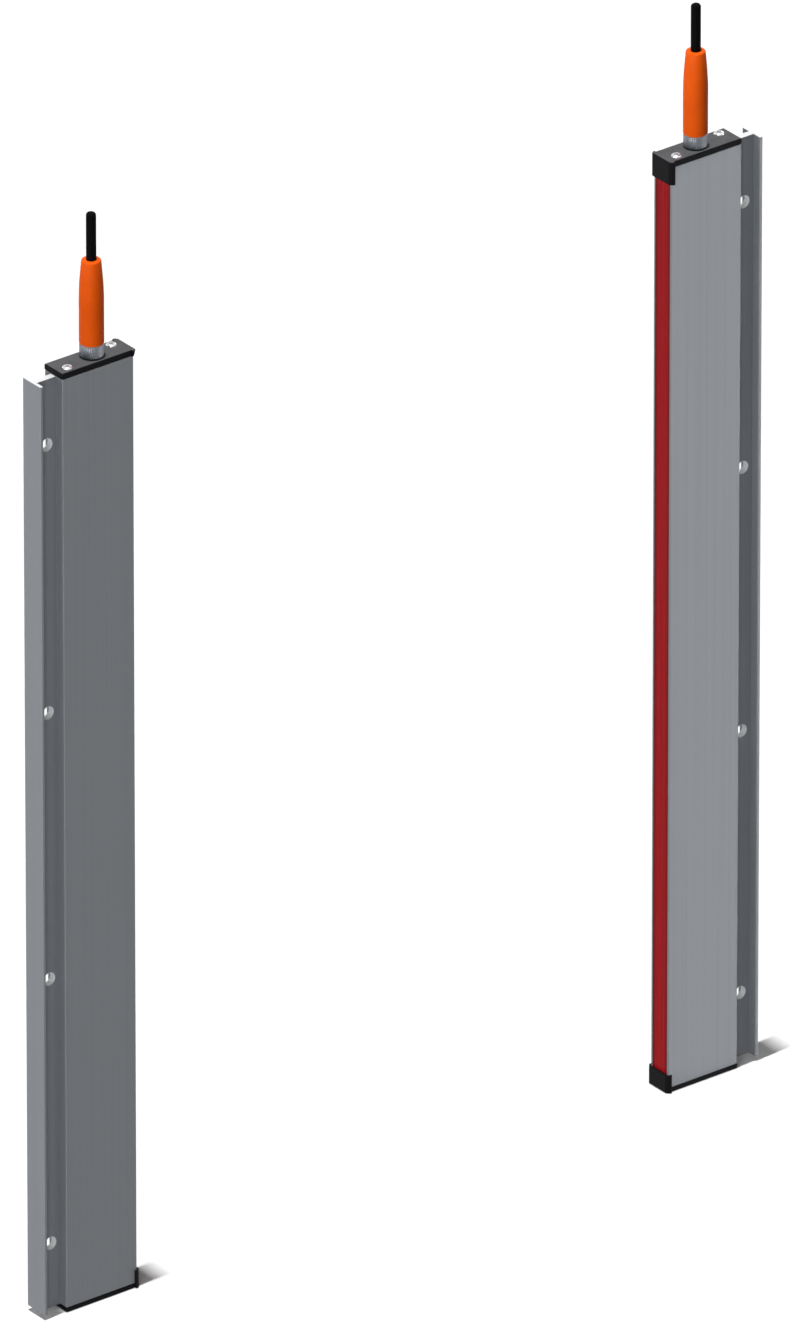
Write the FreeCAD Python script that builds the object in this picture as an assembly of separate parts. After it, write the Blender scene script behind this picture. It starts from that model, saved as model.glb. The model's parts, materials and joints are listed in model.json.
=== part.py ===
"""Elevator light curtain: an emitter bar and a receiver bar that face each other across a doorway.

Millimetres. X runs along the light beams, from the emitter to the receiver, Y runs through the bars'
thickness, away from the viewer, and +Z is up. The origin is the centre of the mounting holes' pattern,
on the bars' middle plane.

Both bars are one build, the emitter turned half a turn about Z. Only their top caps differ: the
receiver's has a hood down over the window's end, the emitter's a lip. One bar is modelled in its own
frame: x from the front edge of its housing towards its flange, y from its middle plane, z from its
middle height.
"""

import FreeCAD, Part
import math
import os

from FreeCAD import Vector

# Doorway
DOOR_GAP = 270.0

# Extruded housing
PROFILE_LENGTH = 416.5
HOUSING_WIDTH = 35.25
HOUSING_DEPTH = 11.6
WALL = 1.2
CORNER = 0.4

# Flange along the rear edge, with mounting holes in its web
GROOVE_WIDTH = 9.5
WEB_THICKNESS = 3.0
FLANGE_THICKNESS = 1.5
FLANGE_CHAMFER = 0.3
HOLE_RADIUS = 2.75
HOLE_COUNT = 4
HOLE_PITCH = 119.5

# Window and the slot that holds it
LIP_THICKNESS = 1.0
LIP_DEPTH = 0.8
SLOT_WALL = 0.5
WINDOW_FLANGE = 1.8
WINDOW_RECESS = 0.1
WINDOW_CLEARANCE = 0.1

# Circuit board at mid depth, and the ribs that hold it
BOARD_THICKNESS = 1.6
BOARD_CLEARANCE = 0.15
BOARD_TOP_MARGIN = 5.0
BOARD_BOTTOM_MARGIN = 1.0
RIB_THICKNESS = 0.9
REAR_RIB_LENGTH = 3.0
CHIP_WIDTH = 6.0
CHIP_RISE = 1.4
CHIP_HEIGHT = 9.0
CHIP_COUNT = 4
CHIP_GAP = 1.5

# Diodes, one for each beam
BEAM_PITCH = 17.0
FIRST_BEAM_BELOW_TOP = 40.0
BEAM_FREE_BELOW = 12.0
DIODE_PLACE = 2.6
DIODE_DEPTH = 3.0
DIODE_RISE = 2.8
DIODE_HEIGHT = 4.4
DIODE_NOSE = 0.9
DIODE_RIB_GAP = 1.5

# Cap screws, and the square channels that they bite in
CAP_SCREW_RADIUS = 0.9
CAP_SCREW_LENGTH = 10.0
CAP_SCREW_HEAD_RADIUS = 2.1
CAP_SCREW_HEAD = 0.9
SCREW_CLEARANCE = 0.05
CHANNEL_WALL = 0.8
FRONT_CHANNEL_GAP = 0.45
REAR_CHANNEL_GAP = 1.85
PEG_LENGTH = 6.0

# End caps and gaskets
GASKET_THICKNESS = 0.5
GASKET_INSET = 0.2
TOP_PLATE = 2.2
BOTTOM_PLATE = 1.7
CAP_PROUD = 0.25
CAP_CLEARANCE = 0.1
HOOD_PROUD = 1.2
HOOD_WRAP = 1.2
HOOD_CORNER = 1.4
EMITTER_TOP_HOOD_DROP = 0.0
RECEIVER_TOP_HOOD_DROP = 7.3
BOTTOM_HOOD_DROP = 5.8

# Socket in the top cap
CONNECTOR_PLACE = 16.4
SOCKET_RADIUS = 3.95
SOCKET_WALL = 0.75
SOCKET_SINK = 1.2
SOCKET_RISE = 4.4
FLOOR_SINK = 0.4
PIN_WIDTH = 0.9
PIN_SPREAD = 1.6
PIN_RISE = 3.4
PIN_OVERLAP = 4.0

# Plug
NUT_GAP = 0.3
NUT_HEIGHT = 5.7
NUT_WALL = 0.95
NUT_TEETH = 20
NUT_TOOTH_DEPTH = 0.25
NOSE_GAP = 0.8
PLUG_CLEARANCE = 0.05
CONTACT_CLEARANCE = 0.2
GRIP_LENGTH = 36.7
GRIP_RADIUS = 5.05
GRIP_TOP_RADIUS = 4.0
GRIP_TAPER = 12.5

# Cable
CABLE_RADIUS = 2.05
CABLE_STUB = 20.8
CABLE_DEPTH = 25.0

# Within this, two heights or depths are the same
SAME = 1e-6

# Worked out from the driving sizes
HALF_LENGTH = PROFILE_LENGTH / 2
HALF_DEPTH = HOUSING_DEPTH / 2
INNER_HALF_DEPTH = HALF_DEPTH - WALL
MOUTH = HALF_DEPTH - LIP_THICKNESS
SLOT = HALF_DEPTH - SLOT_WALL
SLOT_END = LIP_DEPTH + WINDOW_FLANGE
INNER_REAR = HOUSING_WIDTH - WALL
HALF_WEB = WEB_THICKNESS / 2
FLANGE_START = HOUSING_WIDTH + GROOVE_WIDTH
FLANGE_END = FLANGE_START + FLANGE_THICKNESS
HOLE_PLACE = HOUSING_WIDTH + GROOVE_WIDTH / 2
HOLE_HEIGHTS = [(i - (HOLE_COUNT - 1) / 2) * HOLE_PITCH for i in range(HOLE_COUNT)]
HALF_BOARD = BOARD_THICKNESS / 2
BOARD_SEAT = -HALF_BOARD
BOARD_STOP = HALF_BOARD + BOARD_CLEARANCE
BOARD_FRONT = SLOT_END + BOARD_CLEARANCE
BOARD_REAR = INNER_REAR - BOARD_CLEARANCE
BOARD_TOP = HALF_LENGTH - BOARD_TOP_MARGIN
BOARD_BOTTOM = BOARD_BOTTOM_MARGIN - HALF_LENGTH
BEAM_COUNT = 1 + int((PROFILE_LENGTH - FIRST_BEAM_BELOW_TOP - BEAM_FREE_BELOW) / BEAM_PITCH)
BEAM_HEIGHTS = [HALF_LENGTH - FIRST_BEAM_BELOW_TOP - i * BEAM_PITCH for i in range(BEAM_COUNT)]
DIODE_FRONT = BOARD_FRONT + DIODE_PLACE
FRONT_RIB = DIODE_FRONT + DIODE_DEPTH + DIODE_RIB_GAP
REAR_RIB = INNER_REAR - REAR_RIB_LENGTH
CHANNEL_HALF = CAP_SCREW_RADIUS + SCREW_CLEARANCE
CHANNEL_REACH = CHANNEL_HALF + CHANNEL_WALL
FRONT_CHANNEL = SLOT_END + FRONT_CHANNEL_GAP + CHANNEL_REACH
REAR_CHANNEL = INNER_REAR - REAR_CHANNEL_GAP - CHANNEL_REACH
CHANNELS = ((FRONT_CHANNEL, BOARD_SEAT - CHANNEL_REACH), (REAR_CHANNEL, BOARD_STOP + CHANNEL_REACH))
CAP_SEAT = HALF_LENGTH + GASKET_THICKNESS
CAP_TOP = CAP_SEAT + TOP_PLATE
SOCKET_BORE = SOCKET_RADIUS - SOCKET_WALL
SOCKET_BOTTOM = CAP_SEAT - SOCKET_SINK
SOCKET_FLOOR = CAP_TOP - FLOOR_SINK
SOCKET_TOP = CAP_TOP + SOCKET_RISE
PIN_OFFSET = HALF_BOARD + PIN_WIDTH / 2
PINS = [(CONNECTOR_PLACE + i * PIN_SPREAD, j * PIN_OFFSET) for i in (-1, 1) for j in (-1, 1)]
PIN_TOP = SOCKET_FLOOR + PIN_RISE
NUT_RADIUS = SOCKET_RADIUS + NUT_WALL
NUT_BOTTOM = CAP_TOP + NUT_GAP
NUT_TOP = NUT_BOTTOM + NUT_HEIGHT
NOSE_RADIUS = SOCKET_BORE - PLUG_CLEARANCE
NOSE_BOTTOM = SOCKET_FLOOR + NOSE_GAP
GRIP_TOP = NUT_TOP + GRIP_LENGTH
CABLE_BOTTOM = GRIP_TOP - CABLE_DEPTH
CABLE_TOP = GRIP_TOP + CABLE_STUB


def box(x0, x1, y0, y1, z0, z1):
    return Part.makeBox(x1 - x0, y1 - y0, z1 - z0, Vector(x0, y0, z0))


def post(x, y, half, z0, z1):
    """An upright square post."""
    return box(x - half, x + half, y - half, y + half, z0, z1)


def rod(x, y, radius, z0, z1):
    return Part.makeCylinder(radius, z1 - z0, Vector(x, y, z0))


def prism(outline, z0, z1):
    """A closed outline of x and y, drawn up from z0 to z1."""
    corners = [Vector(x, y, z0) for x, y in outline]
    return Part.Face(Part.makePolygon(corners + corners[:1])).extrude(Vector(0, 0, z1 - z0))


def turned(outline, x):
    """A closed outline of radius and height, turned about the upright line at x on the middle plane."""
    corners = [Vector(x + radius, 0, z) for radius, z in outline]
    face = Part.Face(Part.makePolygon(corners + corners[:1]))
    return face.revolve(Vector(x, 0, 0), Vector(0, 0, 1), 360)


def is_upright(edge):
    return abs(edge.Vertexes[0].Z - edge.Vertexes[-1].Z) > SAME


def broken(block):
    """A block with its upright edges broken."""
    return block.makeChamfer(CORNER, [e for e in block.Edges if is_upright(e)])


def outer_outline(side):
    """The outside of the extrusion on one side, from the lip at its front to the end of its flange."""
    outline = [
        (0, MOUTH),
        (0, HALF_DEPTH),
        (HOUSING_WIDTH, HALF_DEPTH),
        (HOUSING_WIDTH, HALF_WEB),
        (FLANGE_START, HALF_WEB),
        (FLANGE_START, HALF_DEPTH),
        (FLANGE_END, HALF_DEPTH),
    ]
    return [(x, side * y) for x, y in outline]


def slot_outline(side):
    """One side of the window's slot, from the lip to the cavity."""
    outline = [(LIP_DEPTH, MOUTH), (LIP_DEPTH, SLOT), (SLOT_END, SLOT), (SLOT_END, INNER_HALF_DEPTH)]
    return [(x, side * y) for x, y in outline]


def step(start, end, wall, crest):
    """A rib or channel on a wall of the cavity: up to its crest at start and back to the wall at end."""
    return [(start, wall), (start, crest), (end, crest), (end, wall)]


def cavity_outline():
    """The inside of the extrusion, along the far wall with what stops the board, then back along the
    near wall with what the board rests on."""
    far, near = INNER_HALF_DEPTH, -INNER_HALF_DEPTH
    rear_rib = [
        (INNER_REAR, BOARD_SEAT),
        (REAR_RIB, BOARD_SEAT),
        (REAR_RIB, BOARD_SEAT - RIB_THICKNESS),
        (INNER_REAR, BOARD_SEAT - RIB_THICKNESS),
    ]
    return (
        step(FRONT_RIB, FRONT_RIB + RIB_THICKNESS, far, BOARD_STOP)
        + step(REAR_CHANNEL - CHANNEL_REACH, REAR_CHANNEL + CHANNEL_REACH, far, BOARD_STOP)
        + [(INNER_REAR, far)]
        + rear_rib
        + [(INNER_REAR, near)]
        + step(FRONT_CHANNEL + CHANNEL_REACH, FRONT_CHANNEL - CHANNEL_REACH, near, BOARD_SEAT)
    )


def outer_corners(profile):
    """The upright edges along the extrusion's outside, those of the hollow section and of the flange."""
    edges = [e for e in profile.Edges if is_upright(e) and abs(e.Vertexes[0].Y) > HALF_DEPTH - SAME]
    hollow = [e for e in edges if e.Vertexes[0].X < HOUSING_WIDTH + GROOVE_WIDTH / 2]
    flange = [e for e in edges if e.Vertexes[0].X > HOUSING_WIDTH + GROOVE_WIDTH / 2]
    return hollow, flange


def mounting_hole(z):
    return Part.makeCylinder(HOLE_RADIUS, WEB_THICKNESS, Vector(HOLE_PLACE, -HALF_WEB, z), Vector(0, 1, 0))


def housing():
    """The extrusion: a flat hollow section, open at its front, with a groove and a flange behind it."""
    section = (
        outer_outline(-1)
        + outer_outline(1)[::-1]
        + slot_outline(1)
        + cavity_outline()
        + slot_outline(-1)[::-1]
    )
    profile = prism(section, -HALF_LENGTH, HALF_LENGTH)
    profile = profile.makeFillet(CORNER, outer_corners(profile)[0])
    profile = profile.makeChamfer(FLANGE_CHAMFER, outer_corners(profile)[1])
    channels = [post(x, y, CHANNEL_HALF, -HALF_LENGTH, HALF_LENGTH) for x, y in CHANNELS]
    return profile.cut(channels + [mounting_hole(z) for z in HOLE_HEIGHTS])


def window():
    """The red filter strip: a flange held in the slot, and a land that fills the mouth between the lips."""
    land = MOUTH - WINDOW_CLEARANCE
    flange = SLOT - WINDOW_CLEARANCE
    back = SLOT_END - WINDOW_CLEARANCE
    outline = [
        (WINDOW_RECESS, -land),
        (LIP_DEPTH, -land),
        (LIP_DEPTH, -flange),
        (back, -flange),
        (back, flange),
        (LIP_DEPTH, flange),
        (LIP_DEPTH, land),
        (WINDOW_RECESS, land),
    ]
    return prism(outline, -HALF_LENGTH, HALF_LENGTH - WINDOW_CLEARANCE)


def circuit_board():
    return box(BOARD_FRONT, BOARD_REAR, BOARD_SEAT, HALF_BOARD, BOARD_BOTTOM, BOARD_TOP)


def diode(z):
    """A side looking diode on the board, its nose towards the window."""
    low, high = HALF_BOARD, HALF_BOARD + DIODE_RISE
    back = DIODE_FRONT + DIODE_DEPTH
    nose = DIODE_FRONT - DIODE_NOSE
    outline = [
        (DIODE_FRONT, low),
        (back, low),
        (back, high),
        (DIODE_FRONT, high),
        (nose, high - DIODE_NOSE),
        (nose, low + DIODE_NOSE),
    ]
    return prism(outline, z - DIODE_HEIGHT / 2, z + DIODE_HEIGHT / 2)


def driver_chips():
    """Chips on the side of the board that faces away from the diodes."""
    start = FRONT_CHANNEL + CHANNEL_REACH + CHIP_GAP
    pitch = (BOARD_TOP - BOARD_BOTTOM) / CHIP_COUNT
    chips = []
    for i in range(CHIP_COUNT):
        low = BOARD_BOTTOM + (i + 0.5) * pitch - CHIP_HEIGHT / 2
        high = low + CHIP_HEIGHT
        chips.append(box(start, start + CHIP_WIDTH, BOARD_SEAT - CHIP_RISE, BOARD_SEAT, low, high))
    return chips


def gasket():
    """A flat seal on the top end of the housing, round its walls."""
    reach = HALF_DEPTH - GASKET_INSET
    sheet = box(GASKET_INSET, HOUSING_WIDTH - GASKET_INSET, -reach, reach, HALF_LENGTH, CAP_SEAT)
    return sheet.cut(box(SLOT_END, INNER_REAR, -INNER_HALF_DEPTH, INNER_HALF_DEPTH, HALF_LENGTH, CAP_SEAT))


def hood_outline(outer):
    """The outside of a hood from above, its front corners cut well back."""
    half = [
        (-HOOD_PROUD, outer - HOOD_CORNER),
        (HOOD_CORNER - HOOD_PROUD, outer),
        (HOOD_WRAP - CORNER, outer),
        (HOOD_WRAP, outer - CORNER),
    ]
    return half + [(x, -y) for x, y in reversed(half)]


def cap(plate, hood_drop):
    """A cap on the top end: a plate on the gasket, and a hood down over the end of the window, or with no
    drop a lip round the gasket alone."""
    top = CAP_SEAT + plate
    side = HALF_DEPTH + CAP_PROUD
    outer = HALF_DEPTH + HOOD_PROUD
    inner = HALF_DEPTH + CAP_CLEARANCE
    hood_bottom = HALF_LENGTH - hood_drop
    lid = broken(box(-CAP_CLEARANCE, HOUSING_WIDTH + CAP_PROUD, -side, side, CAP_SEAT, top))
    hood = prism(hood_outline(outer), hood_bottom, top)
    body = lid.fuse(hood).removeSplitter()
    body = body.cut(box(-CAP_CLEARANCE, HOOD_WRAP, -inner, inner, hood_bottom, CAP_SEAT))
    rim = [e for e in body.Edges if min(v.Z for v in e.Vertexes) > top - SAME]
    return body.makeChamfer(CORNER, rim)


def top_cap(hood_drop):
    """The cap with the socket's hole and the two screw holes."""
    holes = [rod(x, y, CHANNEL_HALF, CAP_SEAT, CAP_TOP) for x, y in CHANNELS]
    holes.append(rod(CONNECTOR_PLACE, 0, SOCKET_RADIUS, CAP_SEAT, CAP_TOP))
    return cap(TOP_PLATE, hood_drop).cut(holes)


def plugged_cap():
    """A cap with two pegs that press into the screw channels."""
    pegs = [post(x, y, CHANNEL_HALF, HALF_LENGTH - PEG_LENGTH, CAP_SEAT) for x, y in CHANNELS]
    return cap(BOTTOM_PLATE, BOTTOM_HOOD_DROP).multiFuse(pegs)


def cap_screw(x, y):
    """A pan head screw through the top cap, down into a channel."""
    head = rod(x, y, CAP_SCREW_HEAD_RADIUS, CAP_TOP, CAP_TOP + CAP_SCREW_HEAD)
    return head.fuse(rod(x, y, CAP_SCREW_RADIUS, CAP_TOP - CAP_SCREW_LENGTH, CAP_TOP))


def upside_down(solid):
    """A piece made for the top end, as it sits on the bottom end."""
    return solid.mirror(Vector(0, 0, 0), Vector(0, 0, 1))


def socket():
    """The threaded sleeve in the top cap, with the floor that carries the pins."""
    outline = [
        (0, SOCKET_BOTTOM),
        (SOCKET_RADIUS, SOCKET_BOTTOM),
        (SOCKET_RADIUS, SOCKET_TOP),
        (SOCKET_BORE, SOCKET_TOP),
        (SOCKET_BORE, SOCKET_FLOOR),
        (0, SOCKET_FLOOR),
    ]
    sleeve = turned(outline, CONNECTOR_PLACE)
    return sleeve.cut([post(x, y, PIN_WIDTH / 2, SOCKET_BOTTOM, SOCKET_FLOOR) for x, y in PINS])


def socket_pin(x, y):
    """A pin that grips the top edge of the board from one side."""
    return post(x, y, PIN_WIDTH / 2, BOARD_TOP - PIN_OVERLAP, PIN_TOP)


def coupling_nut():
    """The knurled nut that draws the plug onto the socket."""
    knurl = []
    for i in range(2 * NUT_TEETH):
        angle = math.pi * i / NUT_TEETH
        radius = NUT_RADIUS - (i % 2) * NUT_TOOTH_DEPTH
        knurl.append((CONNECTOR_PLACE + radius * math.cos(angle), radius * math.sin(angle)))
    return prism(knurl, NUT_BOTTOM, NUT_TOP).cut(rod(CONNECTOR_PLACE, 0, SOCKET_RADIUS, NUT_BOTTOM, NUT_TOP))


def connector_plug():
    """The moulded plug: a nose in the socket, a round grip on the nut, and a taper up to the cable."""
    outline = [
        (0, NOSE_BOTTOM),
        (NOSE_RADIUS, NOSE_BOTTOM),
        (NOSE_RADIUS, NUT_TOP),
        (GRIP_RADIUS, NUT_TOP),
        (GRIP_RADIUS, GRIP_TOP - GRIP_TAPER),
        (GRIP_TOP_RADIUS, GRIP_TOP),
        (CABLE_RADIUS, GRIP_TOP),
        (CABLE_RADIUS, CABLE_BOTTOM),
        (0, CABLE_BOTTOM),
    ]
    half = PIN_WIDTH / 2 + CONTACT_CLEARANCE
    contacts = [post(x, y, half, NOSE_BOTTOM, PIN_TOP + CONTACT_CLEARANCE) for x, y in PINS]
    return turned(outline, CONNECTOR_PLACE).cut(contacts)


def cable_tail():
    return rod(CONNECTOR_PLACE, 0, CABLE_RADIUS, CABLE_BOTTOM, CABLE_TOP)


def bar(top_hood_drop):
    """Every piece of one bar, by name."""
    return {
        "housing": [housing()],
        "window": [window()],
        "circuit_board": [circuit_board()],
        "diodes": [diode(z) for z in BEAM_HEIGHTS],
        "driver_chips": driver_chips(),
        "top_gasket": [gasket()],
        "top_cap": [top_cap(top_hood_drop)],
        "cap_screws": [cap_screw(x, y) for x, y in CHANNELS],
        "bottom_gasket": [upside_down(gasket())],
        "bottom_cap": [upside_down(plugged_cap())],
        "socket": [socket()],
        "socket_pins": [socket_pin(x, y) for x, y in PINS],
        "coupling_nut": [coupling_nut()],
        "connector_plug": [connector_plug()],
        "cable_tail": [cable_tail()],
    }


def placed(solid, half_turn):
    """A piece of a bar in the doorway's frame: the receiver as modelled, the emitter turned half a turn."""
    copy = solid.translated(Vector(DOOR_GAP / 2, 0, 0))
    if half_turn:
        copy.rotate(Vector(0, 0, 0), Vector(0, 0, 1), 180)
    return copy


def save(name, solids):
    shape = solids[0] if len(solids) == 1 else Part.makeCompound(solids)
    shape.exportStep(f"parts/{name}.step")


def main():
    os.makedirs("parts", exist_ok=True)
    for name, solids in bar(EMITTER_TOP_HOOD_DROP).items():
        save(f"emitter_{name}", [placed(solid, True) for solid in solids])
    for name, solids in bar(RECEIVER_TOP_HOOD_DROP).items():
        save(f"receiver_{name}", [placed(solid, False) for solid in solids])


main()
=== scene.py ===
"""Elevator light curtain, dressed: finer plugs, coupling nuts, cap screws, end caps and cable ends on the
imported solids, with the finishes, studio light and camera of the picture. Metres, in the part's own frame."""

import json
import math

import bmesh
import bpy
from mathutils import Matrix, Vector


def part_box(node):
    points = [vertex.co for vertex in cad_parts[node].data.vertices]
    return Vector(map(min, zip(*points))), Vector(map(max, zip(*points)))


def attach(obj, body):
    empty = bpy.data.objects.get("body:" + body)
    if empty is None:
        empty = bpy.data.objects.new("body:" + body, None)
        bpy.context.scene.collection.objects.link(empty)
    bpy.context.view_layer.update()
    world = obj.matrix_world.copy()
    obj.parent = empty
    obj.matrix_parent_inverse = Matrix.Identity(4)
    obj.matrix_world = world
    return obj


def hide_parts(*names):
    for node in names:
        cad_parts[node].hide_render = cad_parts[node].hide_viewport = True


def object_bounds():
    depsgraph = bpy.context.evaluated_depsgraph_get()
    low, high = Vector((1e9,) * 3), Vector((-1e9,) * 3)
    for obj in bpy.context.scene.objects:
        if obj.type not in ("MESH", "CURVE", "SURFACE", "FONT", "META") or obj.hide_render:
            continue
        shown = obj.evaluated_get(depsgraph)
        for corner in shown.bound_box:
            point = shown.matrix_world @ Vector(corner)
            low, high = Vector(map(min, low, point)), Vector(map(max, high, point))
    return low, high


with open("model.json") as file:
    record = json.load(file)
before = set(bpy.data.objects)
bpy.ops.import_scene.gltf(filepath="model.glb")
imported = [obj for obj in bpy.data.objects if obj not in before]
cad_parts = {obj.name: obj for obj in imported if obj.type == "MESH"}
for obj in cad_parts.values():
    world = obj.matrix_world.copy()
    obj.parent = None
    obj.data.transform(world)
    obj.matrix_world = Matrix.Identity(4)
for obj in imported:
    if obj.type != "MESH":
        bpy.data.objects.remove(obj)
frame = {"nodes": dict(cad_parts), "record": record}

CAD_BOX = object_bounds()
MM = 0.001
BARS = ("emitter", "receiver")
NODES = frame["nodes"]
RECORD = frame["record"]
HOLES = next(mount["dims"] for mount in RECORD["mounts"] if mount["name"] == "outer_holes")
HOLE_LINE = HOLES["spacing_x_mm"] / 2 * MM
HOLE_PITCH = HOLES["spacing_y_mm"] / 3 * MM
HOLE_RADIUS = HOLES["hole_r_mm"] * MM


# Finishes


def new_finish(name):
    """A finish's material with its node tree and main shader."""
    finish = bpy.data.materials.new(name)
    finish.use_nodes = True
    tree = finish.node_tree
    return finish, tree, tree.nodes["Principled BSDF"]


def surface_place(tree, stretch=(1, 1, 1)):
    """The place on the piece in metres, stretched along its axes."""
    place = tree.nodes.new("ShaderNodeTexCoord")
    mapping = tree.nodes.new("ShaderNodeMapping")
    mapping.inputs["Scale"].default_value = stretch
    tree.links.new(place.outputs["Object"], mapping.inputs["Vector"])
    return mapping.outputs["Vector"]


def part_of(tree, source, axis):
    """One axis of the place on the piece ("Object") or of the way it faces ("Normal")."""
    place = tree.nodes.new("ShaderNodeTexCoord")
    axes = tree.nodes.new("ShaderNodeSeparateXYZ")
    tree.links.new(place.outputs[source], axes.inputs["Vector"])
    return axes.outputs[axis]


def grain(tree, place, scale, detail=2.0, rough=0.5):
    """Soft noise at so many grains to a unit of its place."""
    noise = tree.nodes.new("ShaderNodeTexNoise")
    noise.inputs["Scale"].default_value = scale
    noise.inputs["Detail"].default_value = detail
    noise.inputs["Roughness"].default_value = rough
    tree.links.new(place, noise.inputs["Vector"])
    return noise.outputs["Fac"]


def ranged(tree, value, start, end, low, high):
    """A value from start to end brought to low to high, held at both ends."""
    change = tree.nodes.new("ShaderNodeMapRange")
    change.inputs["From Min"].default_value = start
    change.inputs["From Max"].default_value = end
    change.inputs["To Min"].default_value = low
    change.inputs["To Max"].default_value = high
    tree.links.new(value, change.inputs["Value"])
    return change.outputs["Result"]


def blended(tree, share, first, second):
    """A colour between two, each a fixed colour or another node's."""
    mix = tree.nodes.new("ShaderNodeMix")
    mix.data_type = "RGBA"
    tree.links.new(share, mix.inputs[0])
    for socket, colour in ((mix.inputs[6], first), (mix.inputs[7], second)):
        if isinstance(colour, tuple):
            socket.default_value = (*colour, 1.0)
        else:
            tree.links.new(colour, socket)
    return mix.outputs[2]


def reckoned(tree, operation, first, second=None):
    """One step of arithmetic on values or fixed numbers."""
    step = tree.nodes.new("ShaderNodeMath")
    step.operation = operation
    for socket, value in zip(step.inputs, (first, second)):
        if isinstance(value, (int, float)):
            socket.default_value = value
        elif value is not None:
            tree.links.new(value, socket)
    return step.outputs[0]


def summed(tree, share, first, second):
    """Two values added, the first at its share and the second at the rest."""
    return reckoned(
        tree, "ADD", reckoned(tree, "MULTIPLY", first, share), reckoned(tree, "MULTIPLY", second, 1 - share))


def relief(tree, shader, height, depth):
    """Fine relief of a depth in metres."""
    bump = tree.nodes.new("ShaderNodeBump")
    bump.inputs["Strength"].default_value = 1.0
    bump.inputs["Distance"].default_value = depth
    tree.links.new(height, bump.inputs["Height"])
    tree.links.new(bump.outputs["Normal"], shader.inputs["Normal"])


def drilled_share(tree):
    """1 on the drilled walls of the mounting holes and their broken edges, 0 elsewhere. The holes lie half a
    pitch and one and a half pitches above and below the middle."""
    wall_end = HOLE_RADIUS + 0.05 * MM
    broken_end = HOLE_RADIUS + 0.25 * MM
    across = reckoned(tree, "SUBTRACT", reckoned(tree, "ABSOLUTE", part_of(tree, "Object", "X")), HOLE_LINE)
    pitches = reckoned(tree, "FRACT", reckoned(tree, "DIVIDE", part_of(tree, "Object", "Z"), HOLE_PITCH))
    along = reckoned(tree, "MULTIPLY", reckoned(tree, "SUBTRACT", pitches, 0.5), HOLE_PITCH)
    reach = reckoned(tree, "SQRT", reckoned(
        tree, "ADD", reckoned(tree, "POWER", across, 2), reckoned(tree, "POWER", along, 2)))
    return ranged(tree, reach, wall_end, broken_end, 1, 0)


def level_share(tree, start, end):
    """0 to 1 as a face turns from upright to level, up or down."""
    return ranged(tree, reckoned(tree, "ABSOLUTE", part_of(tree, "Normal", "Z")), start, end, 0, 1)


def anodised_aluminium():
    """Grey satin anodising with the extrusion's die lines, and unanodised metal on the drilled hole walls and
    the level sawn ends; the near-white of the level ends is also painted light from above.
    """
    dark_grey, light_grey = (0.237, 0.251, 0.271), (0.262, 0.277, 0.298)
    # The pale metal colour is for the drilled hole walls and the level ends. On the level ends its near-white
    # is also painted top light.
    cloud_grey, bare_and_top_lit_metal = (0.24, 0.252, 0.27), (0.80, 0.81, 0.83)
    finish, tree, shader = new_finish("anodised_aluminium")
    die_lines = grain(tree, surface_place(tree, (1100, 1100, 3)), 1.0, detail=3.0)
    clouds = grain(tree, surface_place(tree), 16.0, detail=3.0)
    etch = grain(tree, surface_place(tree, (5200, 5200, 2600)), 1.0)
    # Pale metal on the drilled hole walls, and on every level end face, where it also stands in for light from
    # above as painted top light.
    bare_and_top_lit = reckoned(tree, "MAXIMUM", drilled_share(tree), level_share(tree, 0.8, 0.95))
    lined = blended(tree, ranged(tree, die_lines, 0.3, 0.7, 0, 1), dark_grey, light_grey)
    clouded = blended(tree, ranged(tree, clouds, 0.35, 0.7, 0, 0.35), lined, cloud_grey)
    tree.links.new(blended(tree, bare_and_top_lit, clouded, bare_and_top_lit_metal), shader.inputs["Base Color"])
    tree.links.new(ranged(tree, die_lines, 0.25, 0.75, 0.40, 0.52), shader.inputs["Roughness"])
    shader.inputs["Metallic"].default_value = 0.2
    shader.inputs["Specular IOR Level"].default_value = 0.3
    relief(tree, shader, summed(tree, 0.7, die_lines, etch), 0.014 * MM)
    return finish


def red_filter():
    """The deep red window: darker towards its long edges, smooth, with faint flow lines along it."""
    light_red, dark_red, edge_red = (0.45, 0.006, 0.010), (0.41, 0.004, 0.008), (0.15, 0.003, 0.005)
    shade_start, shade_end = 2.6 * MM, 4.8 * MM
    finish, tree, shader = new_finish("red_filter")
    off_middle = reckoned(tree, "ABSOLUTE", part_of(tree, "Object", "Y"))
    edge = ranged(tree, off_middle, shade_start, shade_end, 0, 1)
    flow = grain(tree, surface_place(tree, (700, 700, 5)), 1.0)
    lined = blended(tree, flow, light_red, dark_red)
    tree.links.new(blended(tree, edge, lined, edge_red), shader.inputs["Base Color"])
    tree.links.new(ranged(tree, flow, 0.3, 0.7, 0.22, 0.30), shader.inputs["Roughness"])
    shader.inputs["Specular IOR Level"].default_value = 0.05
    relief(tree, shader, flow, 0.01 * MM)
    return finish


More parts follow.
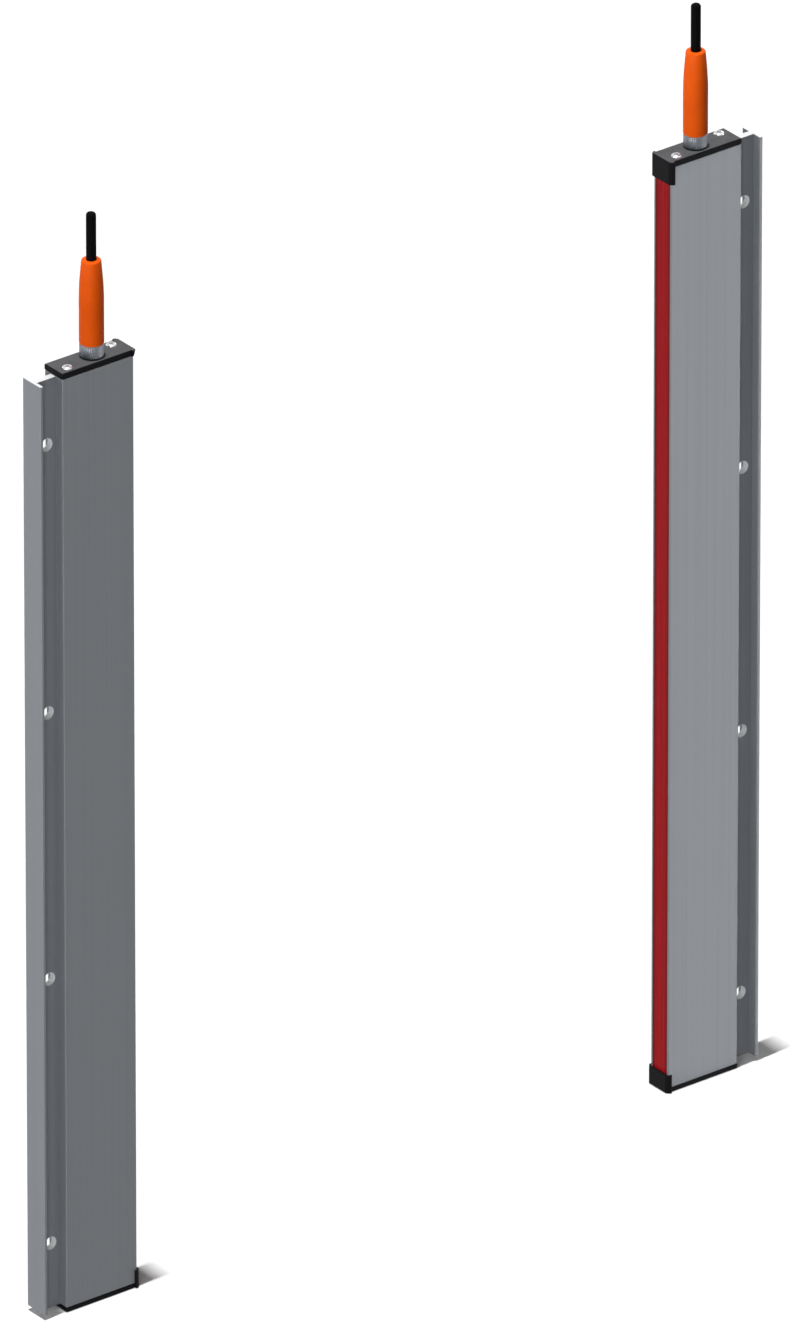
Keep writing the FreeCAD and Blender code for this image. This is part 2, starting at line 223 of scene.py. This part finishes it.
def cap_plastic():
    """Black moulded caps, with painted top light: the level faces of the upper ones are greyer to stand in for
    light from above.
    """
    # The grey third colour is painted top light on the upper caps' level faces, not the plastic's own colour.
    dark_black, light_black, painted_top_light_grey = (0.004, 0.004, 0.005), (0.007, 0.007, 0.008), (0.115, 0.117, 0.122)
    finish, tree, shader = new_finish("cap_plastic")
    fine = grain(tree, surface_place(tree), 5200.0)
    drift = grain(tree, surface_place(tree), 160.0, detail=4.0, rough=0.6)
    upper = ranged(tree, part_of(tree, "Object", "Z"), 0, 100 * MM, 0, 1)
    level = reckoned(tree, "MULTIPLY", level_share(tree, 0.75, 0.95), upper)
    # Painted top light: the upper caps' level faces are greyed, with a little drift in tone.
    painted_top_light = reckoned(tree, "MULTIPLY", level, ranged(tree, drift, 0.3, 0.7, 0.7, 1.0))
    black = blended(tree, ranged(tree, fine, 0.35, 0.65, 0, 1), dark_black, light_black)
    tree.links.new(blended(tree, painted_top_light, black, painted_top_light_grey), shader.inputs["Base Color"])
    tree.links.new(ranged(tree, fine, 0.3, 0.7, 0.50, 0.62), shader.inputs["Roughness"])
    shader.inputs["Specular IOR Level"].default_value = 0.05
    relief(tree, shader, fine, 0.03 * MM)
    return finish


def moulded(name, dark, light, rough, shine, grains, depth, cloudy=14.0):
    """A moulded, rubber or laminated surface: fine grain, and tone that drifts a little."""
    finish, tree, shader = new_finish(name)
    fine = grain(tree, surface_place(tree), grains)
    drift = grain(tree, surface_place(tree), cloudy, detail=3.0)
    tone = ranged(tree, summed(tree, 0.5, fine, drift), 0.35, 0.65, 0, 1)
    tree.links.new(blended(tree, tone, dark, light), shader.inputs["Base Color"])
    tree.links.new(ranged(tree, fine, 0.3, 0.7, rough - 0.05, rough + 0.05), shader.inputs["Roughness"])
    shader.inputs["Specular IOR Level"].default_value = shine
    relief(tree, shader, fine, depth)
    return finish


def plated(name, dark, light, rough, brushed=(2600, 2600, 2600)):
    """A plated or bare metal, with a fine brushed grain."""
    finish, tree, shader = new_finish(name)
    lines = grain(tree, surface_place(tree, brushed), 1.0, detail=3.0)
    drift = grain(tree, surface_place(tree), 260.0)
    tone = blended(tree, ranged(tree, drift, 0.35, 0.65, 0, 1), dark, light)
    tree.links.new(tone, shader.inputs["Base Color"])
    tree.links.new(ranged(tree, lines, 0.3, 0.7, rough - 0.06, rough + 0.06), shader.inputs["Roughness"])
    shader.inputs["Metallic"].default_value = 1.0
    relief(tree, shader, lines, 0.008 * MM)
    return finish


# Dark and light colour, roughness, shine, grains to a metre, their depth, and clouds to a metre if given.
MOULDED = {
    "board_laminate": ((0.004, 0.040, 0.014), (0.008, 0.062, 0.022), 0.45, 0.5, 900, 0.02 * MM),
    "diode_resin": ((0.010, 0.006, 0.012), (0.018, 0.010, 0.020), 0.18, 0.5, 700, 0.005 * MM),
    "chip_resin": ((0.008, 0.008, 0.009), (0.014, 0.014, 0.015), 0.6, 0.4, 4200, 0.02 * MM),
    "gasket_rubber": ((0.004, 0.004, 0.004), (0.008, 0.008, 0.008), 0.8, 0.15, 3000, 0.03 * MM),
    "socket_plastic": ((0.010, 0.010, 0.011), (0.018, 0.018, 0.019), 0.5, 0.35, 3600, 0.02 * MM),
    "plug_plastic": ((0.82, 0.097, 0.004), (0.93, 0.121, 0.005), 0.45, 0.06, 3400, 0.025 * MM, 90.0),
    "cable_jacket": ((0.002, 0.002, 0.002), (0.004, 0.004, 0.004), 0.6, 0.02, 2600, 0.02 * MM),
}
# Dark and light colour, roughness, and brushed lines to a metre along each axis if given.
PLATED = {
    "screw_steel": ((0.58, 0.58, 0.59), (0.68, 0.68, 0.69), 0.30),
    "pin_brass": ((0.60, 0.40, 0.09), (0.68, 0.47, 0.12), 0.28),
    "nut_metal": ((0.17, 0.181, 0.200), (0.225, 0.237, 0.260), 0.34, (900, 900, 5200)),
}
FINISHES = {
    "anodised_aluminium": anodised_aluminium(),
    "red_filter": red_filter(),
    "cap_plastic": cap_plastic(),
    **{name: moulded(name, *values) for name, values in MOULDED.items()},
    **{name: plated(name, *values) for name, values in PLATED.items()},
}


# Finer pieces

SHARP_ANGLE = math.radians(35)
FLAT_ANGLE = 0.01
SAME_PLACE = 0.001 * MM
SEAM = 0.0001 * MM
SCREW_HEAD = 2.1 * MM


def axis_of(node):
    """The upright line through the middle of a node."""
    low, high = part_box(node)
    return Vector(((low.x + high.x) / 2, (low.y + high.y) / 2, 0))


def spoke_to(vert, axis):
    """The level way from an upright line to a point."""
    return Vector((vert.co.x, vert.co.y, 0)) - axis


def turned(outline, axis, steps=72):
    """An outline of radius and height, from pole to pole or closed, turned about an upright line."""
    shape = bmesh.new()
    points = [shape.verts.new((axis.x + radius, axis.y, height)) for radius, height in outline]
    edges = [shape.edges.new(pair) for pair in zip(points, points[1:])]
    bmesh.ops.spin(
        shape, geom=points + edges, cent=axis, axis=(0, 0, 1), angle=2 * math.pi, steps=steps, use_merge=True)
    bmesh.ops.remove_doubles(shape, verts=shape.verts, dist=SEAM)
    bmesh.ops.recalc_face_normals(shape, faces=shape.faces)
    for face in shape.faces:
        face.smooth = True
    return shape


def rim_edges(shape, axis, radius, height):
    """The edges of the ring at a radius and a height."""
    def on_ring(vert):
        off_radius = abs(spoke_to(vert, axis).length - radius)
        return off_radius < SAME_PLACE and abs(vert.co.z - height) < SAME_PLACE
    return [edge for edge in shape.edges if all(on_ring(vert) for vert in edge.verts)]


def rounded(shape, edges, size, segments=4):
    """Rounds edges of a shape, with smooth faces."""
    made = bmesh.ops.bevel(
        shape, geom=edges, offset=size, offset_type="OFFSET", affect="EDGES", segments=segments, profile=0.5,
        material=-1, clamp_overlap=True)
    for face in made["faces"]:
        face.smooth = True


def as_piece(name, shape, slot, *nodes):
    """Makes a shape into a piece that stands for nodes and takes a slot's finish."""
    for edge in shape.edges:
        edge.smooth = edge.calc_face_angle(0) < SHARP_ANGLE
    mesh = bpy.data.meshes.new(name)
    shape.to_mesh(mesh)
    shape.free()
    mesh.materials.append(FINISHES[slot])
    piece = bpy.data.objects.new(name, mesh)
    bpy.context.scene.collection.objects.link(piece)
    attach(piece, "root")
    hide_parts(*nodes)


def moulded_plug(bar):
    """The orange plug: round grip, soft shoulder, taper and rounded rim, with its nose down in the socket."""
    taper, rim, nose = 12.5 * MM, 4.0 * MM, 3.15 * MM
    contact_room, pin_gap = 2.75 * MM, 0.2 * MM
    shoulder_round, foot_round, rim_round = 5.0 * MM, 0.5 * MM, 0.6 * MM
    node = f"{bar}_connector_plug"
    axis = axis_of(node)
    low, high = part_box(node)
    nut_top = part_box(f"{bar}_coupling_nut")[1].z
    tail_low, tail_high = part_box(f"{bar}_cable_tail")
    contact_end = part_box(f"{bar}_socket_pins")[1].z + pin_gap
    grip = (high.x - low.x) / 2
    tail = (tail_high.x - tail_low.x) / 2
    shoulder = high.z - taper
    outline = [
        (0, contact_end),
        (contact_room, contact_end),
        (contact_room, low.z),
        (nose, low.z),
        (nose, nut_top),
        (grip, nut_top),
        (grip, shoulder),
        (rim, high.z),
        (tail, high.z),
        (tail, tail_low.z),
        (0, tail_low.z),
    ]
    shape = turned(outline, axis)
    rounded(shape, rim_edges(shape, axis, grip, shoulder), shoulder_round, segments=8)
    rounded(shape, rim_edges(shape, axis, grip, nut_top), foot_round)
    rounded(shape, rim_edges(shape, axis, rim, high.z), rim_round)
    as_piece(f"{bar}_moulded_plug", shape, "plug_plastic", node)


def knurled_nut(bar):
    """The coupling nut: straight knurl between two chamfers, bored for the socket."""
    bore, chamfer = 3.95 * MM, 0.5 * MM
    teeth, tooth_depth = 40, 0.25 * MM
    valley_start, valley_end = 0.35, 0.9
    node = f"{bar}_coupling_nut"
    axis = axis_of(node)
    low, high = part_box(node)
    crest = (high.x - low.x) / 2
    outline = [
        (bore, low.z),
        (crest - chamfer, low.z),
        (crest, low.z + chamfer),
        (crest, high.z - chamfer),
        (crest - chamfer, high.z),
        (bore, high.z),
        (bore, low.z),
    ]
    shape = turned(outline, axis, steps=4 * teeth)
    for vert in shape.verts:
        spoke = spoke_to(vert, axis)
        tooth = math.atan2(spoke.y, spoke.x) / (2 * math.pi) * teeth
        if abs(spoke.length - crest) < SAME_PLACE and valley_start < tooth % 1 < valley_end:
            vert.co -= spoke.normalized() * tooth_depth
    bmesh.ops.recalc_face_normals(shape, faces=shape.faces)
    as_piece(f"{bar}_knurled_nut", shape, "nut_metal", node)


def cross_reach(turn, arm, half_width):
    """How far a cross recess reaches from its middle in a direction."""
    turn = abs((turn + math.pi / 4) % (math.pi / 2) - math.pi / 4)
    if math.tan(turn) <= half_width / arm:
        return arm / math.cos(turn)
    return half_width / math.sin(turn)


def pan_screw(shape, middle, under, top, foot):
    """One cap screw with a domed pan head and a cross recess, added to a shape. The recess is turned round at
    first, and its two rings are then drawn in and out to a cross."""
    shank, recess_depth = 0.9 * MM, 0.55 * MM
    floor_ring, mouth_ring, rings_end = 0.75 * MM, 0.95 * MM, 1.0 * MM
    arm, half_width, floor_share = 1.2 * MM, 0.32 * MM, 0.8
    dome = ((1.35 * MM, 0.03 * MM), (1.75 * MM, 0.14 * MM), (2.0 * MM, 0.36 * MM), (SCREW_HEAD, 0.62 * MM))
    recess_floor = top - recess_depth
    outline = [
        (0, recess_floor),
        (floor_ring, recess_floor),
        (mouth_ring, top),
        *((radius, top - drop) for radius, drop in dome),
        (SCREW_HEAD, under),
        (shank, under),
        (shank, foot),
        (0, foot),
    ]
    screw = turned(outline, middle, steps=64)
    for vert in screw.verts:
        spoke = spoke_to(vert, middle)
        if vert.co.z > recess_floor - SAME_PLACE and SAME_PLACE < spoke.length < rings_end:
            turn = math.atan2(spoke.y, spoke.x)
            share = 1.0 if vert.co.z > top - SAME_PLACE else floor_share
            reach = share * cross_reach(turn, arm, half_width)
            vert.co.x = middle.x + math.cos(turn) * reach
            vert.co.y = middle.y + math.sin(turn) * reach
    mesh = bpy.data.meshes.new("one_screw")
    screw.to_mesh(mesh)
    screw.free()
    shape.from_mesh(mesh)
    bpy.data.meshes.remove(mesh)


def cap_screws(bar):
    """Both screws of a top cap, on a diagonal."""
    node = f"{bar}_cap_screws"
    low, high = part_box(node)
    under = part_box(f"{bar}_top_cap")[1].z
    shape = bmesh.new()
    for corner, inwards in ((low, SCREW_HEAD), (high, -SCREW_HEAD)):
        pan_screw(shape, Vector((corner.x + inwards, corner.y + inwards, 0)), under, high.z, low.z)
    as_piece(f"{bar}_pan_screws", shape, "screw_steel", node)


def slant_lip(shape, low, high):
    """Slants the emitter's lip in under its rim, so that it ends in a point over the window."""
    slant = 0.7 * MM
    for vert in shape.verts:
        if vert.co.z < low.z + SAME_PLACE:
            vert.co.x = min(vert.co.x, high.x - slant)
            vert.co.y = min(max(vert.co.y, low.y + slant), high.y - slant)


def soft_cap(node):
    """A moulded cap with the front corners of its hood rounded."""
    front_depth, least_height, corner_round = 1.7 * MM, 1.5 * MM, 0.85 * MM
    low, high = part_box(node)
    doorway_side = min(low.x, high.x, key=abs)
    shape = bmesh.new()
    shape.from_mesh(NODES[node].data)
    bmesh.ops.remove_doubles(shape, verts=shape.verts, dist=SAME_PLACE)
    bmesh.ops.dissolve_limit(shape, angle_limit=FLAT_ANGLE, verts=shape.verts, edges=shape.edges)
    for face in shape.faces:
        face.smooth = False
    if node == "emitter_top_cap":
        slant_lip(shape, low, high)

    def is_hood_corner(edge):
        first, second = (vert.co for vert in edge.verts)
        at_front = max(abs(first.x - doorway_side), abs(second.x - doorway_side)) < front_depth
        return at_front and abs(first.z - second.z) > least_height and edge.is_convex

    rounded(shape, [edge for edge in shape.edges if is_hood_corner(edge)], corner_round, segments=6)
    bmesh.ops.dissolve_degenerate(shape, dist=SAME_PLACE, edges=shape.edges)
    as_piece(f"{node}_rounded", shape, "cap_plastic", node)


def cable_end(bar):
    """The cable's end above the plug, its cut edge rounded."""
    cut_round = 1.3 * MM
    node = f"{bar}_cable_tail"
    axis = axis_of(node)
    low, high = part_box(node)
    radius = (high.x - low.x) / 2
    shape = turned([(0, low.z), (radius, low.z), (radius, high.z), (0, high.z)], axis)
    rounded(shape, rim_edges(shape, axis, radius, high.z), cut_round, segments=8)
    as_piece(f"{bar}_cable_end", shape, "cable_jacket", node)


for bar in BARS:
    moulded_plug(bar)
    knurled_nut(bar)
    cap_screws(bar)
    cable_end(bar)
    soft_cap(f"{bar}_top_cap")
    soft_cap(f"{bar}_bottom_cap")

for row in RECORD["subparts"]:
    solid = NODES[row["node"]]
    solid.data.materials.clear()
    solid.data.materials.append(FINISHES[row["material_slot"]])


# Studio

FLOOR_WHITE = (0.85, 0.85, 0.85)
FLOOR_BOUNCE = (0.07, 0.07, 0.07)
FLOOR_GLOW = 0.02
FLOOR_RADIUS = 4.0
FLOOR_GAP = 0.05 * MM
ROOM_LIGHT = 0.06
MIDDLE = (0, 0, 0)
NO_GRID = 180.0
# Name, place, target, width, height, power in watts, and the angle of the beam in degrees.
SOFTBOXES = (
    ("overhead_light", (-1.9, -0.15, 60.0), MIDDLE, 0.2, 1.5, 36800.0, NO_GRID),
    ("left_light", (-2.6, 0.0, 0.3), MIDDLE, 1.6, 1.0, 18.0, NO_GRID),
    ("front_light", (-2.0, -1.62, 0.25), MIDDLE, 1.0, 1.0, 28.5, NO_GRID),
    ("right_light", (2.25, 1.3, 0.3), MIDDLE, 1.2, 1.0, 12.0, NO_GRID),
    ("back_light", (-0.6, 2.55, 0.2), MIDDLE, 1.2, 1.0, 12.0, NO_GRID),
    ("receiver_light", (0.62, -0.25, -0.007), (0.175, -0.006, -0.007), 0.06, 0.436, 0.091, 2.0),
    ("receiver_plug_light", (-0.12, -0.06, 0.24), (0.155, 0, 0.24), 0.05, 0.07, 0.0022, 6.0),
)


def seen_share(tree):
    """1 where the camera, a reflection or a clear part looks at it, 0 for the light that it gives."""
    path = tree.nodes.new("ShaderNodeLightPath")
    share = reckoned(tree, "MAXIMUM", path.outputs["Is Camera Ray"], path.outputs["Is Glossy Ray"])
    return reckoned(tree, "MAXIMUM", share, path.outputs["Is Transmission Ray"])


def floor_paint():
    """The floor's paint: white where it is seen, greyer in the light it gives back."""
    paint = bpy.data.materials.new("pale_floor")
    paint.use_nodes = True
    tree = paint.node_tree
    tree.nodes.clear()
    seen = seen_share(tree)
    matt = tree.nodes.new("ShaderNodeBsdfDiffuse")
    tree.links.new(blended(tree, seen, FLOOR_BOUNCE, FLOOR_WHITE), matt.inputs["Color"])
    glow = tree.nodes.new("ShaderNodeEmission")
    tree.links.new(reckoned(tree, "MULTIPLY", seen, FLOOR_GLOW), glow.inputs["Strength"])
    both = tree.nodes.new("ShaderNodeAddShader")
    tree.links.new(matt.outputs[0], both.inputs[0])
    tree.links.new(glow.outputs[0], both.inputs[1])
    out = tree.nodes.new("ShaderNodeOutputMaterial")
    tree.links.new(both.outputs[0], out.inputs["Surface"])
    return paint


def white_floor():
    """A round floor just under the bars, which keeps their shadows."""
    under_bars = Matrix.Translation((0, 0, CAD_BOX[0].z - FLOOR_GAP))
    disc = bmesh.new()
    bmesh.ops.create_circle(disc, cap_ends=True, radius=FLOOR_RADIUS, segments=96, matrix=under_bars)
    mesh = bpy.data.meshes.new("floor")
    disc.to_mesh(mesh)
    disc.free()
    mesh.materials.append(floor_paint())
    floor = bpy.data.objects.new("floor", mesh)
    bpy.context.scene.collection.objects.link(floor)


def white_room():
    """The room: white where it is seen, and even soft light from all round."""
    world = bpy.data.worlds.new("room")
    bpy.context.scene.world = world
    world.use_nodes = True
    tree = world.node_tree
    sky = tree.nodes["Background"]
    sky.inputs["Color"].default_value = (1, 1, 1, 1)
    tree.links.new(ranged(tree, seen_share(tree), 0, 1, ROOM_LIGHT, 1.0), sky.inputs["Strength"])


def softbox(name, place, target, width, height, power, beam):
    """A softbox at a place, turned to a target, with a beam of so many degrees, not seen by the camera."""
    lamp = bpy.data.lights.new(name, "AREA")
    lamp.shape = "RECTANGLE"
    lamp.size = width
    lamp.size_y = height
    lamp.energy = power
    lamp.spread = math.radians(beam)
    box = bpy.data.objects.new(name, lamp)
    box.location = place
    box.rotation_euler = (Vector(target) - Vector(place)).to_track_quat("-Z", "Y").to_euler()
    box.visible_camera = False
    bpy.context.scene.collection.objects.link(box)


white_floor()
white_room()
for values in SOFTBOXES:
    softbox(*values)


# Camera

CAMERA_TURN = math.radians(-37.593)
CAMERA_RISE = math.radians(27.468)
CAMERA_REACH = 14.759
FRAME_RIGHT = 1.73 * MM
FRAME_UP = 22.69 * MM
LENS_LENGTH = 1000.0
SENSOR_WIDTH = 36.0
NEAREST = 1.0
FARTHEST = 60.0


def picture_camera():
    """A camera far off with a long lens, its frame's middle moved right and up from the part's origin."""
    level = math.cos(CAMERA_RISE)
    back = Vector((math.sin(CAMERA_TURN) * level, -math.cos(CAMERA_TURN) * level, math.sin(CAMERA_RISE)))
    across = Vector((0, 0, 1)).cross(back).normalized()
    upright = back.cross(across)
    view = bpy.data.cameras.new("picture")
    view.lens = LENS_LENGTH
    view.sensor_fit = "AUTO"
    view.sensor_width = SENSOR_WIDTH
    view.clip_start = NEAREST
    view.clip_end = FARTHEST
    camera = bpy.data.objects.new("picture", view)
    camera.location = across * FRAME_RIGHT + upright * FRAME_UP + back * CAMERA_REACH
    camera.rotation_euler = (-back).to_track_quat("-Z", "Y").to_euler()
    bpy.context.scene.collection.objects.link(camera)
    bpy.context.scene.camera = camera


picture_camera()
bpy.context.scene.view_settings.view_transform = "Standard"
